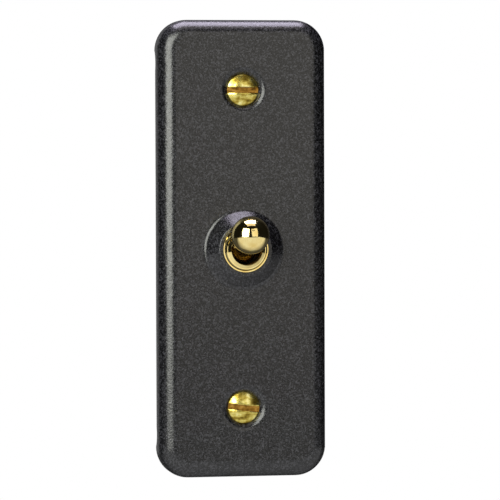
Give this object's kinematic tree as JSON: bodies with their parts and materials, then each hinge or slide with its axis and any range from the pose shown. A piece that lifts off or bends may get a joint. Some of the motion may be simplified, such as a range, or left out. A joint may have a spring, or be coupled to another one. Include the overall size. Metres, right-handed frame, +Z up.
{
  "type": "toggle wall switch",
  "caption": "Narrow wall-mounted toggle switch: pressed dark plate, brass dolly in a domed ring, and a two-way switching mechanism behind it.",
  "frame": {"origin": "on the wall plane, midway between the two fixing screws", "axes": "+Z up along the plate, +Y into the wall, so the front faces -Y, and +X to the right seen from the front"},
  "size_m": [0.0324, 0.0387, 0.087],
  "materials": {
    "powder_coat": "satin, finely speckled graphite powder coat",
    "polished_brass": "polished and lacquered",
    "screw_brass": "machined, handled",
    "turned_brass": "as turned",
    "contact_copper": "rolled strip",
    "silver": "soft satin",
    "steel": "ground",
    "spring_steel": "drawn",
    "zinc_steel": "zinc plated",
    "moulding": "moulded, light satin",
    "acetal": "turned",
    "nylon": "moulded",
    "fibre": "pressed fibre board"
  },
  "bodies": {
    "switch_body": {"face_plate": "powder_coat", "dress_ring": "polished_brass", "bush": "turned_brass", "dolly_pin": "steel", "common_saddle": "contact_copper", "common_block": "turned_brass", "common_screw": "zinc_steel", "lower_contact_tip": "silver", "lower_contact_arm": "contact_copper", "lower_block": "turned_brass", "lower_screw": "zinc_steel", "upper_contact_tip": "silver", "upper_contact_arm": "contact_copper", "upper_block": "turned_brass", "upper_screw": "zinc_steel", "earth_block": "turned_brass", "earth_screw": "zinc_steel", "lock_washer": "spring_steel", "insulating_liner": "fibre", "housing_cover": "moulding", "housing_base": "moulding", "housing_screw_upper": "zinc_steel", "housing_screw_lower": "zinc_steel", "fixing_screw_top": "screw_brass", "fixing_screw_bottom": "screw_brass", "screw_retainer_top": "nylon", "screw_retainer_bottom": "nylon"},
    "dolly": {"dolly": "polished_brass", "plunger_spring": "spring_steel"},
    "plunger": {"plunger": "acetal"},
    "rocker": {"rocker": "contact_copper", "rocker_contact_upper": "silver", "rocker_contact_lower": "silver"}
  },
  "joints": [
    {"name": "dolly_tilt", "type": "hinge", "parent": "switch_body", "child": "dolly", "pos_m": [0, -0.0039, 0], "axis": [1, 0, 0], "range_deg": [0, 35.6]},
    {"name": "plunger_slide", "type": "slide", "parent": "dolly", "child": "plunger", "axis": [0, -0.9521, 0.3057], "range_m": [0, 0.0008], "stiffness_N_per_m": 500, "springref_m": -0.002, "deforming": ["plunger_spring"]},
    {"name": "rocker_tip", "type": "hinge", "parent": "switch_body", "child": "rocker", "pos_m": [0, 0.0093, 0], "axis": [1, 0, 0], "range_deg": [-22, 0]}
  ],
  "couplings": [
    {"joint": "rocker_tip", "follows": "dolly_tilt", "ratio": -0.61798}
  ]
}
